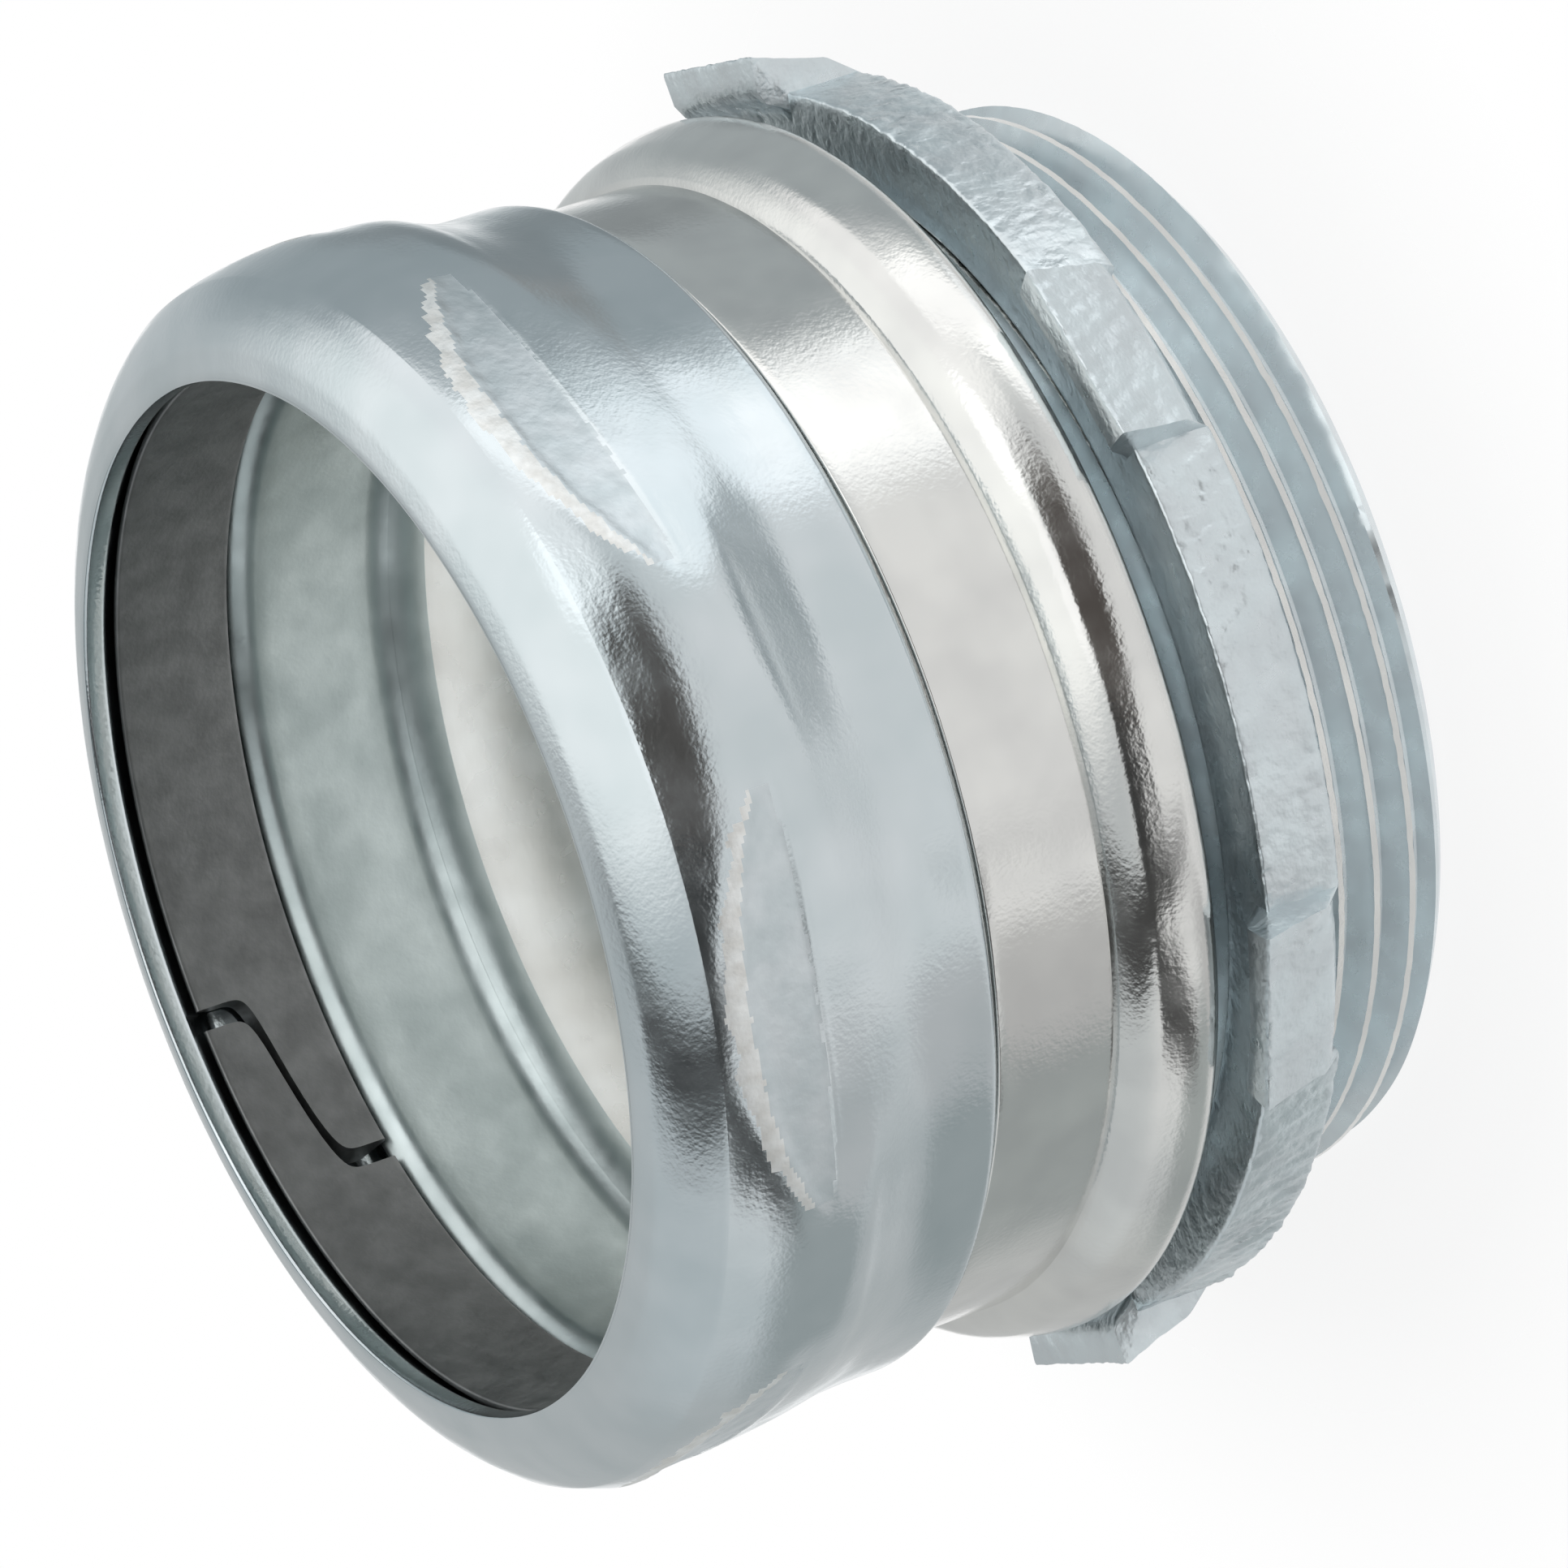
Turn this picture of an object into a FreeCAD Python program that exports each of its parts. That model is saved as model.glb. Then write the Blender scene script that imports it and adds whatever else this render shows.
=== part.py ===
import FreeCAD
import Part
import Sketcher
import os

# Compression connector for two-inch electrical metallic tubing, with its locknut.
# The axis is Z. The connector stands on the end of its box thread, at z = 0, and takes
# the conduit from above. All lengths are in millimetres and all angles in degrees.

doc = FreeCAD.newDocument("compression_connector")

# Driving sizes: name, number, meaning
SIZES = [
    ("conduit_diameter", 55.8, "outside of the conduit"),
    ("conduit_clearance", 0.3, "radial clearance of the socket around the conduit"),
    ("socket_depth", 9.0, "from the front edge of the body to the conduit stop"),
    ("mouth_chamfer", 0.95, "chamfer at the front of the socket, where the ring seats"),
    ("stop_width", 1.0, "how far the conduit stop stands in from the socket"),
    ("stop_height", 1.0, "length of the sloped conduit stop"),
    ("stop_land", 4.6, "length of the bore just behind the stop"),
    ("throat_step", 1.8, "how much smaller the throat's radius is than the socket's"),
    ("throat_taper", 3.2, "length of the taper from the stop land to the throat"),
    ("throat_wall", 3.3, "wall of the body inside the box thread's outside diameter"),
    ("box_thread_length", 16.9, "from the threaded end to the seating face"),
    ("end_chamfer", 1.0, "chamfer at the threaded end"),
    ("body_wall", 2.1, "wall of the body under the compression thread"),
    ("screw_length", 11.2, "from the neck to the front edge of the body"),
    ("screw_clearance", 0.08, "radial clearance of the nut on the compression thread"),
    ("neck_rise", 0.9, "how far the neck stands above the compression thread"),
    ("neck_length", 7.1, "from the step line to the compression thread"),
    ("step_line", 0.3, "rise of the step line above the neck"),
    ("bead_rise", 2.65, "how far the bead stands above the neck"),
    ("bead_height", 5.2, "from the seating face to the step line"),
    ("bead_crest_height", 1.6, "from the seating face to the crest of the bead"),
    ("bead_back_chamfer", 1.15, "how far the seating face stays inside the crest"),
    ("ring_clearance", 0.25, "how much wider than the socket the ring is bored"),
    ("ring_side_clearance", 0.38, "gap between the ring and the nut's bore"),
    ("ring_land", 0.3, "flat on each end of the ring"),
    ("ring_length", 6.85, "length of the compression ring"),
    ("ring_gap", 1.1, "width of the two open ends of the ring's split"),
    ("ring_slit", 0.2, "width of the slit that joins the two open ends"),
    ("ring_lap_angle", 20.5, "angle between the two open ends"),
    ("ring_split_angle", 105.5, "direction of the open end that faces the lip"),
    ("cone_clearance", 0.3, "gap between the ring's cones and their seats"),
    ("nut_gap", 0.6, "gap between the neck and the nut's rim"),
    ("skirt_wall", 1.92, "wall of the nut's skirt"),
    ("rim_chamfer", 0.35, "chamfer on the nut's rim"),
    ("valley_drop", 15.2, "from the lip's face to the valley between skirt and crown"),
    ("crown_rise", 2.0, "how far the crown stands above the skirt"),
    ("crown_drop", 7.4, "from the lip's face to the crown's largest radius"),
    ("crown_back_fall", 0.8, "how far the crown falls before it turns to the valley"),
    ("crown_back_drop", 11.0, "from the lip's face to that turn"),
    ("shoulder_fall", 1.3, "how far the crown falls before it turns to the lip"),
    ("shoulder_drop", 3.1, "from the lip's face to that turn"),
    ("lip_bulge", 0.4, "how far the lip's rounding stands out of its chord"),
    ("lip_land", 0.3, "flat face of the lip"),
    ("lip_thickness", 1.2, "thickness of the lip at its bore"),
    ("lip_clearance", 0.05, "how much wider than the socket the lip is bored"),
    ("flat_depth", 1.3, "how deep the swaged flats are pressed into the crown"),
    ("flat_count", 6, "number of swaged flats"),
    ("flat_angle", 17.0, "direction of the first flat"),
    ("locknut_width", 4.62, "from the locknut's bore to its outside between the lugs"),
    ("locknut_thickness", 4.6, "thickness of the locknut"),
    ("locknut_clearance", 0.08, "radial clearance of the locknut on the box thread"),
    ("lug_reach", 1.9, "how far the lugs stand out of the locknut"),
    ("lug_root", 1.8, "how far inside the locknut's outside the lugs start to bend"),
    ("lug_width", 10.4, "width of a lug"),
    ("lug_bend", 1.6, "how far the lugs are bent towards the seating face"),
    ("lug_drop", 0.7, "how far the back of a lug lies above the locknut's back"),
    ("lug_gap", 0.9, "gap between the tips of the lugs and the seating face's plane"),
    ("lug_count", 6, "number of lugs"),
    ("lug_angle", 2.5, "direction of the first lug"),
]

sheet = doc.addObject("Spreadsheet::Sheet", "Sizes")
for row, (alias, number, meaning) in enumerate(SIZES, start=1):
    sheet.set("A%d" % row, alias)
    sheet.set("B%d" % row, str(number))
    sheet.set("C%d" % row, meaning)
    sheet.setAlias("B%d" % row, alias)
doc.recompute()


def length(formula):
    """An expression for a length, with each size's name led to the sheet."""
    words = formula.split()
    names = [alias for alias, number, meaning in SIZES]
    return "(%s)" % " ".join("Sizes." + word if word in names else word for word in words)


# Radii that follow from the driving sizes
socket_radius = length("conduit_diameter / 2 + conduit_clearance")
mouth_radius = length(socket_radius + " + mouth_chamfer")
stop_radius = length(socket_radius + " - stop_width")
throat_radius = length(socket_radius + " - throat_step")
box_radius = length(throat_radius + " + throat_wall")
screw_radius = length(socket_radius + " + body_wall")
neck_radius = length(screw_radius + " + neck_rise")
bead_radius = length(neck_radius + " + bead_rise")
seat_radius = length(bead_radius + " - bead_back_chamfer")
nut_bore = length(screw_radius + " + screw_clearance")
skirt_radius = length(nut_bore + " + skirt_wall")
crown_radius = length(skirt_radius + " + crown_rise")
flat_distance = length(crown_radius + " - flat_depth")
lip_radius = length(socket_radius + " + lip_clearance")
ring_radius = length(socket_radius + " + ring_clearance")
ring_edge = length(ring_radius + " + ring_land")
ring_outside = length(nut_bore + " - ring_side_clearance")
locknut_bore = length(box_radius + " + locknut_clearance")
locknut_radius = length(locknut_bore + " + locknut_width")
lug_root_radius = length(locknut_radius + " - lug_root")
lug_radius = length(locknut_radius + " + lug_reach")

# Heights of the body and the locknut, from the threaded end up
seat_z = length("box_thread_length")
crest_z = length(seat_z + " + bead_crest_height")
step_z = length(seat_z + " + bead_height")
neck_top_z = length(step_z + " + neck_length")
body_top_z = length(neck_top_z + " + screw_length")
mouth_foot_z = length(body_top_z + " - mouth_chamfer")
stop_z = length(body_top_z + " - socket_depth")
stop_foot_z = length(stop_z + " - stop_height")
land_foot_z = length(stop_foot_z + " - stop_land")
throat_top_z = length(land_foot_z + " - throat_taper")
locknut_top_z = length(seat_z + " - lug_gap - lug_bend")
locknut_foot_z = length(locknut_top_z + " - locknut_thickness")
lug_foot_z = length(locknut_foot_z + " + lug_drop")

# Heights of the ring and the nut: the ring's cones lie off the mouth and off the lip's back
cone_offset = length("cone_clearance * sqrt(2)")
ring_chamfer = length("%s - %s" % (ring_outside, ring_edge))
ring_foot_z = length("%s - %s + %s + %s" % (body_top_z, mouth_radius, ring_edge, cone_offset))
ring_top_z = length(ring_foot_z + " + ring_length")
ring_middle_z = length(ring_foot_z + " + ring_length / 2")
lip_back_z = length("%s + %s - %s + %s" % (ring_top_z, ring_edge, lip_radius, cone_offset))
lip_z = length(lip_back_z + " + lip_thickness")
nut_foot_z = length(neck_top_z + " + nut_gap")


def value(expression):
    """The number that an expression gives now."""
    return float(sheet.evalExpression(expression))


def new_body(label):
    body = doc.addObject("PartDesign::Body", label)
    body.Label = label
    body.Placement = FreeCAD.Placement()
    return body


def new_sketch(body, name, plane, turn=None):
    """A sketch on one of the body's origin planes, turned about the Z axis."""
    sketch = body.newObject("Sketcher::SketchObject", name)
    support = next(item for item in body.Origin.OriginFeatures if item.Role == plane)
    sketch.AttachmentSupport = [(support, "")]
    sketch.MapMode = "FlatFace"
    if turn:
        sketch.AttachmentOffset = FreeCAD.Placement(FreeCAD.Vector(), axis_on(plane), value(turn))
        sketch.setExpression("AttachmentOffset.Rotation.Angle", turn)
    return sketch


def axis_on(plane):
    """The direction of the global Z axis in a sketch's own axes."""
    return FreeCAD.Vector(0, 0, 1) if plane == "XY_Plane" else FreeCAD.Vector(0, 1, 0)


def outline(sketch, points):
    """A closed outline through points given as (across, along)."""
    corners = [FreeCAD.Vector(value(across), value(along), 0) for across, along in points]
    edges = []
    for start, end in zip(corners, corners[1:] + corners[:1]):
        edges.append(sketch.addGeometry(Part.LineSegment(start, end), False))
    for edge, following, (across, along) in zip(edges, edges[1:] + edges[:1], points):
        sketch.addConstraint(Sketcher.Constraint("Coincident", edge, 2, following, 1))
        for kind, expression in (("DistanceX", across), ("DistanceY", along)):
            hold = Sketcher.Constraint(kind, -1, 1, edge, 1, value(expression))
            index = sketch.addConstraint(hold)
            sketch.setExpression("Constraints[%d]" % index, expression)


def round_from_crest(crest, end):
    """The middle of an arc that leaves a crest along the axis and passes through an end.

    With d and l the end's distances from the crest across and along, and c the chord, the
    arc's radius is c^2 / 2d, and its middle lies c / 2 along and c (c - l) / 2d across.
    """
    across = length("%s - %s" % (crest[0], end[0]))
    along = length("abs( %s - %s )" % (end[1], crest[1]))
    chord = length("sqrt( %s ^ 2 + %s ^ 2 )" % (across, along))
    sign = "+" if value(end[1]) > value(crest[1]) else "-"
    middle_radius = "%s - %s * ( %s - %s ) / ( 2 * %s )" % (crest[0], chord, chord, along, across)
    return (length(middle_radius), length("%s %s %s / 2" % (crest[1], sign, chord)))


def bulge_between(start, end, bulge):
    """The point that stands out by the bulge from the middle of a rising chord."""
    across = length("%s - %s" % (start[0], end[0]))
    along = length("%s - %s" % (end[1], start[1]))
    chord = length("sqrt( %s ^ 2 + %s ^ 2 )" % (across, along))
    return (length("( %s + %s ) / 2 + %s * %s / %s" % (start[0], end[0], bulge, along, chord)),
            length("( %s + %s ) / 2 + %s * %s / %s" % (start[1], end[1], bulge, across, chord)))


def revolve(body, name, points):
    """A solid turned about the Z axis from an outline of radius and height."""
    sketch = new_sketch(body, name + "_outline", "XZ_Plane")
    outline(sketch, points)
    turned = body.newObject("PartDesign::Revolution", name)
    turned.Profile = sketch
    turned.ReferenceAxis = (sketch, ["V_Axis"])
    turned.Angle = 360
    doc.recompute()
    return turned


def rectangle(sketch, left, right, low, high):
    outline(sketch, [(left, low), (right, low), (right, high), (left, high)])


def repeat_around(body, feature, name, count):
    """Repeat a feature around the Z axis."""
    pattern = body.newObject("PartDesign::PolarPattern", name)
    pattern.Originals = [feature]
    z_axis = next(item for item in body.Origin.OriginFeatures if item.Role == "Z_Axis")
    pattern.Axis = (z_axis, [""])
    pattern.Angle = 360
    pattern.setExpression("Occurrences", count)
    body.Tip = pattern
    doc.recompute()


def build_connector_body():
    """The body: box thread, seating face, bead, neck and compression thread, with its bore."""
    body = new_body("connector_body")
    crest = (bead_radius, crest_z)
    step = (length(neck_radius + " + step_line"), step_z)
    revolve(body, "shell", [
        (throat_radius, "0"),
        (length(box_radius + " - end_chamfer"), "0"),
        (box_radius, length("end_chamfer")),
        (box_radius, seat_z),
        (seat_radius, seat_z),
        crest,
        round_from_crest(crest, step),
        step,
        (neck_radius, step_z),
        (neck_radius, neck_top_z),
        (screw_radius, neck_top_z),
        (screw_radius, body_top_z),
        (mouth_radius, body_top_z),
        (socket_radius, mouth_foot_z),
        (socket_radius, stop_z),
        (stop_radius, stop_foot_z),
        (stop_radius, land_foot_z),
        (throat_radius, throat_top_z),
    ])
    return body


def build_gland_nut():
    """The gland nut: a swelling crown with swaged flats, and a turned-in lip."""
    body = new_body("gland_nut")
    crown = (crown_radius, length(lip_z + " - crown_drop"))
    crown_back = (length(crown_radius + " - crown_back_fall"), length(lip_z + " - crown_back_drop"))
    shoulder = (length(crown_radius + " - shoulder_fall"), length(lip_z + " - shoulder_drop"))
    lip = (length(lip_radius + " + lip_land"), lip_z)
    revolve(body, "shell", [
        (nut_bore, nut_foot_z),
        (length(skirt_radius + " - rim_chamfer"), nut_foot_z),
        (skirt_radius, length(nut_foot_z + " + rim_chamfer")),
        (skirt_radius, length(lip_z + " - valley_drop")),
        crown_back,
        round_from_crest(crown, crown_back),
        crown,
        round_from_crest(crown, shoulder),
        shoulder,
        bulge_between(shoulder, lip, length("lip_bulge")),
        lip,
        (lip_radius, lip_z),
        (lip_radius, lip_back_z),
        (nut_bore, length("%s - %s + %s" % (lip_back_z, nut_bore, lip_radius))),
    ])
    swage_flats(body)
    return body


def swage_flats(body):
    """The flats around the crown, each cut by a block that starts at the flat's distance."""
    sketch = new_sketch(body, "flat_outline", "XY_Plane", length("flat_angle"))
    block_end = length(crown_radius + " + flat_depth")
    rectangle(sketch, flat_distance, block_end, length("-1 * " + crown_radius), crown_radius)
    flat = body.newObject("PartDesign::Pocket", "flat")
    flat.Profile = sketch
    flat.Type = "ThroughAll"
    flat.Midplane = True
    doc.recompute()
    repeat_around(body, flat, "flats", length("flat_count"))


def build_compression_ring():
    """The compression ring, chamfered at both ends and split by a stepped cut."""
    body = new_body("compression_ring")
    revolve(body, "band", [
        (ring_radius, ring_foot_z),
        (ring_edge, ring_foot_z),
        (ring_outside, length(ring_foot_z + " + " + ring_chamfer)),
        (ring_outside, length(ring_top_z + " - " + ring_chamfer)),
        (ring_edge, ring_top_z),
        (ring_radius, ring_top_z),
    ])
    front_angle = length("ring_split_angle")
    rear_angle = length("ring_split_angle + ring_lap_angle")
    cut_gap(body, "front_gap", front_angle, ring_middle_z, length(ring_top_z + " + ring_gap"))
    cut_gap(body, "rear_gap", rear_angle, length(ring_foot_z + " - ring_gap"), ring_middle_z)
    cut_slit(body, front_angle)
    return body


def cut_gap(body, name, angle, low, high):
    """One open end of the split, cut through the wall of the ring."""
    sketch = new_sketch(body, name + "_outline", "YZ_Plane", angle)
    rectangle(sketch, length("-1 * ring_gap / 2"), length("ring_gap / 2"), low, high)
    gap = body.newObject("PartDesign::Pocket", name)
    gap.Profile = sketch
    gap.Reversed = True
    gap.setExpression("Length", length(ring_outside + " + ring_gap"))
    doc.recompute()


def cut_slit(body, angle):
    """The narrow slit around the middle of the ring, from one open end to the other."""
    sketch = new_sketch(body, "slit_outline", "XZ_Plane", angle)
    rectangle(sketch, length(ring_radius + " - ring_gap"), length(ring_outside + " + ring_gap"),
              length(ring_middle_z + " - ring_slit / 2"), length(ring_middle_z + " + ring_slit / 2"))
    slit = body.newObject("PartDesign::Groove", "slit")
    slit.Profile = sketch
    slit.ReferenceAxis = (sketch, ["V_Axis"])
    slit.setExpression("Angle", length("ring_lap_angle"))
    doc.recompute()


def build_locknut():
    """The locknut: a ring on the box thread, with lugs bent towards the seating face."""
    body = new_body("locknut")
    revolve(body, "plate", [
        (locknut_bore, locknut_foot_z),
        (locknut_radius, locknut_foot_z),
        (locknut_radius, locknut_top_z),
        (locknut_bore, locknut_top_z),
    ])
    sketch = new_sketch(body, "lug_outline", "XZ_Plane", length("lug_angle"))
    bend_radius = length(lug_root_radius + " + lug_bend")
    tip_z = length(locknut_top_z + " + lug_bend")
    outline(sketch, [
        (lug_root_radius, lug_foot_z),
        (bend_radius, lug_foot_z),
        (lug_radius, length(lug_foot_z + " + lug_bend")),
        (lug_radius, tip_z),
        (bend_radius, tip_z),
        (lug_root_radius, locknut_top_z),
    ])
    lug = body.newObject("PartDesign::Pad", "lug")
    lug.Profile = sketch
    lug.Midplane = True
    lug.setExpression("Length", length("lug_width"))
    doc.recompute()
    repeat_around(body, lug, "lugs", length("lug_count"))
    return body


def check(bodies):
    """Stop if any object failed, or if a sub-part isn't one valid solid."""
    for item in doc.Objects:
        if "Invalid" in item.State or "Error" in item.State:
            raise RuntimeError("%s failed: %s" % (item.Name, item.State))
    for body in bodies:
        if body.Shape.isNull() or not body.Shape.isValid():
            raise RuntimeError("%s has no valid shape" % body.Label)
        if len(body.Shape.Solids) != 1:
            raise RuntimeError("%s is %d solids" % (body.Label, len(body.Shape.Solids)))


subparts = [
    build_connector_body(),
    build_gland_nut(),
    build_compression_ring(),
    build_locknut(),
]
doc.recompute()
check(subparts)

os.makedirs("parts", exist_ok=True)
for subpart in subparts:
    box = subpart.Shape.BoundBox
    print("%-17s %9.1f mm3  z %6.2f to %6.2f  radius %.2f" % (
        subpart.Label, subpart.Shape.Volume, box.ZMin, box.ZMax, box.XMax))
    subpart.Shape.exportStep("parts/%s.step" % subpart.Label)
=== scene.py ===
"""Looks of a two-inch compression conduit connector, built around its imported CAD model."""

import math
from types import SimpleNamespace

import bmesh
import bpy
from mathutils import Matrix, Vector, geometry, noise


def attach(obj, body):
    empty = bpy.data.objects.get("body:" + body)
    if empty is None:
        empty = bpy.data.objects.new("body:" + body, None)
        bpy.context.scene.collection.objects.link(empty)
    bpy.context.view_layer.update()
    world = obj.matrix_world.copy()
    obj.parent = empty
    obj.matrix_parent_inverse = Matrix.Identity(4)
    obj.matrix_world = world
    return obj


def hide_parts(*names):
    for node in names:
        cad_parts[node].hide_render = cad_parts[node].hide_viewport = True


bl_info = {
    "name": "Compression Connector",
    "version": (1, 0, 0),
    "blender": (4, 5, 0),
    "location": "3D View > Sidebar > Connector",
    "description": "Builds the looks of a zinc-plated compression connector for conduit",
    "category": "Add Mesh",
}

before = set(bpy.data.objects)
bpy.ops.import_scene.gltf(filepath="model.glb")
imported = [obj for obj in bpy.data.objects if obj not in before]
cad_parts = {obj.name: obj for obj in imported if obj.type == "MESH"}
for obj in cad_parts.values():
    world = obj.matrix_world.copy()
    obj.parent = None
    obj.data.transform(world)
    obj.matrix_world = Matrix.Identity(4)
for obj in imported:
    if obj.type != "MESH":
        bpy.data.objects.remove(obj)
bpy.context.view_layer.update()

MM = 0.001
# Points closer than this, in millimetres, are merged
WELD = 0.002


# Helpers for sizes and colours


def linear(text):
    """The linear colour of an sRGB colour written as #rrggbb."""
    channels = [int(text[place:place + 2], 16) / 255 for place in (1, 3, 5)]
    return [c / 12.92 if c <= 0.04045 else ((c + 0.055) / 1.055) ** 2.4 for c in channels]


def size(name, description, millimetres):
    return bpy.props.FloatProperty(
        name=name, description=description, default=millimetres * MM, unit="LENGTH")


def angle(name, description, degrees):
    return bpy.props.FloatProperty(
        name=name, description=description, default=math.radians(degrees), subtype="ANGLE")


def count(name, description, number):
    return bpy.props.IntProperty(name=name, description=description, default=number, min=1)


def colour(name, description, text):
    return bpy.props.FloatVectorProperty(
        name=name, description=description, default=linear(text), size=3, subtype="COLOR",
        min=0, max=1)


def in_millimetres(group):
    """A group's sizes in millimetres; its angles, counts and colours stay as they are."""
    values = {}
    for name in group.__annotations__:
        value = getattr(group, name)
        is_length = group.bl_rna.properties[name].unit == "LENGTH"
        values[name] = value / MM if is_length else value
    return SimpleNamespace(**values)


class BodySizes(bpy.types.PropertyGroup):
    thread_radius: size("Thread radius", "Radius over the crests of the box thread", 29.7)
    thread_pitch: size("Thread pitch", "Rise of the box thread in one turn", 2.209)
    thread_crest: size("Thread crest", "Width of the box thread's flat crests", 0.36)
    thread_root: size("Thread root", "Width of the box thread's flat roots", 0.22)
    thread_depth: size("Thread depth", "Depth of the box thread", 1.36)
    seat_height: size("Seat height", "From the threaded end to the seating face", 16.9)
    bead_radius: size("Bead radius", "Radius of the bead's crest", 33.85)
    step_height: size("Step height", "From the threaded end to the step line", 22.1)
    neck_radius: size("Neck radius", "Radius of the plain neck", 31.2)
    neck_top: size("Neck top", "From the threaded end to the compression thread", 29.2)
    screw_radius: size("Screw radius", "Radius over the compression thread", 30.3)
    screw_pitch: size("Screw pitch", "Rise of the compression thread in one turn", 1.5875)
    screw_depth: size("Screw depth", "Depth of the compression thread", 0.9)
    screw_crest: size("Screw crest", "Width of the compression thread's crests", 0.25)
    screw_root: size("Screw root", "Width of the compression thread's roots", 0.2)
    height: size("Height", "From the threaded end to the body's front edge", 40.4)
    mouth_radius: size("Mouth radius", "Radius of the chamfered mouth", 29.15)
    socket_radius: size("Socket radius", "Radius of the socket for the conduit", 28.2)
    stop_height: size("Stop height", "From the threaded end to the conduit stop", 31.4)
    stop_radius: size("Stop radius", "Radius inside the conduit stop", 27.2)
    throat_radius: size("Throat radius", "Radius of the throat under the box thread", 26.4)
    wave: size("Wave", "How far the drawn wall waves in and out", 0.03)
    columns: count("Columns", "Faces around the body", 400)


class NutSizes(bpy.types.PropertyGroup):
    rim_height: size("Rim height", "From the threaded end to the nut's rim", 29.8)
    skirt_radius: size("Skirt radius", "Radius of the nut's skirt", 32.3)
    bore_radius: size("Bore radius", "Radius of the nut's bore", 30.38)
    lip_height: size("Lip height", "From the threaded end to the lip's face", 49.39)
    lip_radius: size("Lip radius", "Radius of the lip's bore", 28.25)
    lip_thickness: size("Lip thickness", "Thickness of the lip at its bore", 1.2)
    flat_depth: size("Flat depth", "How deep the flats are pressed into the crown", 1.1)
    fold: size("Fold", "How softly the crown folds into a flat", 0.1)
    leaf_depth: size("Leaf depth", "Depth of the rough leaf in a flat", 0.05)
    ridge_height: size("Ridge height", "How far metal is pushed up in front of a leaf", 0.09)
    wave: size("Wave", "How far the drawn wall waves in and out", 0.03)
    flat_angle: angle("Flat angle", "Direction of the first flat", 17)
    flat_reach: angle("Flat reach", "Angle from a flat's middle to its ends", 20.0)
    flat_count: count("Flats", "Number of pressed flats", 6)
    columns: count("Columns", "Faces around the nut", 600)


class RingSizes(bpy.types.PropertyGroup):
    foot_height: size("Foot height", "From the threaded end to the ring", 40.424)
    length: size("Length", "Length of the ring", 6.85)
    bore_radius: size("Bore radius", "Radius of the ring's bore", 28.45)
    radius: size("Radius", "Radius of the ring's outside", 30.0)
    land: size("Land", "Flat on each end of the ring", 0.3)
    gap: size("Gap", "Width of the two open ends of the split", 1.15)
    slit: size("Slit", "Width of the slit between the open ends", 0.3)
    split_angle: angle("Split angle", "Direction of the open end that faces the lip", 105.5)
    lap_angle: angle("Lap angle", "Angle between the two open ends", 20.5)
    columns: count("Columns", "Faces around the ring", 360)


class LocknutSizes(bpy.types.PropertyGroup):
    foot_height: size("Foot height", "From the threaded end to the locknut", 9.8)
    thickness: size("Thickness", "Thickness of the locknut", 4.6)
    bore_radius: size("Bore radius", "Radius of the locknut's bore", 29.78)
    radius: size("Radius", "Radius of the locknut between its lugs", 34.2)
    lug_distance: size("Lug distance", "From the axis to the flat end of a lug", 36.28)
    lug_root: size("Lug root", "Radius where the lugs start to bend", 32.6)
    lug_bend: size("Lug bend", "How far the lugs are bent forward", 1.55)
    lug_width: size("Lug width", "Width of a lug", 10.4)
    coarseness: size("Coarseness", "Height of the coarse marks on the cut edges", 0.16)
    lug_angle: angle("Lug angle", "Direction of the first lug", 2.5)
    lug_count: count("Lugs", "Number of lugs", 6)
    columns: count("Columns", "Faces around the locknut", 1080)


class Finishes(bpy.types.PropertyGroup):
    zinc: colour("Zinc", "Bright zinc plate on the body", "#e6e6e3")
    zinc_dull: colour("Dull zinc", "Clouds in the body's zinc plate", "#dadad8")
    blue_zinc: colour("Blue zinc", "Zinc plate with a blue passivate, on both nuts", "#d5dcdf")
    blue_zinc_dull: colour("Dull blue zinc", "Clouds in the blue passivate", "#cad3d6")
    thread_zinc: colour("Thread zinc", "Blue zinc plate on the rolled threads", "#dde6e9")
    # Painted shade: the socket's two colours are darker than the zinc elsewhere
    socket_shade_zinc: colour("Thin zinc", "Thin zinc plate in the socket", "#ced8d8")
    socket_shade_zinc_dull: colour("Dull thin zinc", "Clouds in the socket's plate", "#b9c4c4")
    # Painted light: this white paints the highlight before each leaf and the lit throat
    painted_light_zinc: colour("Worn zinc", "Zinc scraped or rubbed to a bright white", "#f4f6f5")
    grey_zinc: colour("Grey zinc", "Dark dull zinc plate on the ring", "#8f9090")
    grey_zinc_dull: colour("Dull grey zinc", "Clouds in the ring's plate", "#808181")
    floor: colour("Floor", "The pale floor", "#f7f7f7")


# Helpers for meshes. Meshes are made in millimetres and scaled to metres when they are done


def smooth(value, low, high):
    """From 0 at low to 1 at high, with no corner."""
    part = min(max((value - low) / (high - low), 0.0), 1.0)
    return part * part * (3 - 2 * part)


def arc(start, corner, end, parts):
    """Points of a round that touches both legs of a corner."""
    turn = (corner - start).angle(end - corner)
    reach = 4 / 3 * math.tan(turn / 4) / math.tan(turn / 2)
    return geometry.interpolate_bezier(
        start, start.lerp(corner, reach), end.lerp(corner, reach), end, parts + 1)


def rounded(corners, closed, spacing):
    """A profile through corners of (radius, height, rounding), divided to the spacing."""
    places = [Vector(corner[:2]) for corner in corners]
    points = []
    for index, (place, corner) in enumerate(zip(places, corners)):
        is_end = not closed and index in (0, len(places) - 1)
        if is_end or not corner[2]:
            points.append(place)
            continue
        before = places[index - 1]
        after = places[(index + 1) % len(places)]
        start = place + (before - place).normalized() * corner[2]
        end = place + (after - place).normalized() * corner[2]
        points += arc(start, place, end, max(3, round(corner[2] / spacing)))
    return divided(points, closed, spacing)


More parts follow.
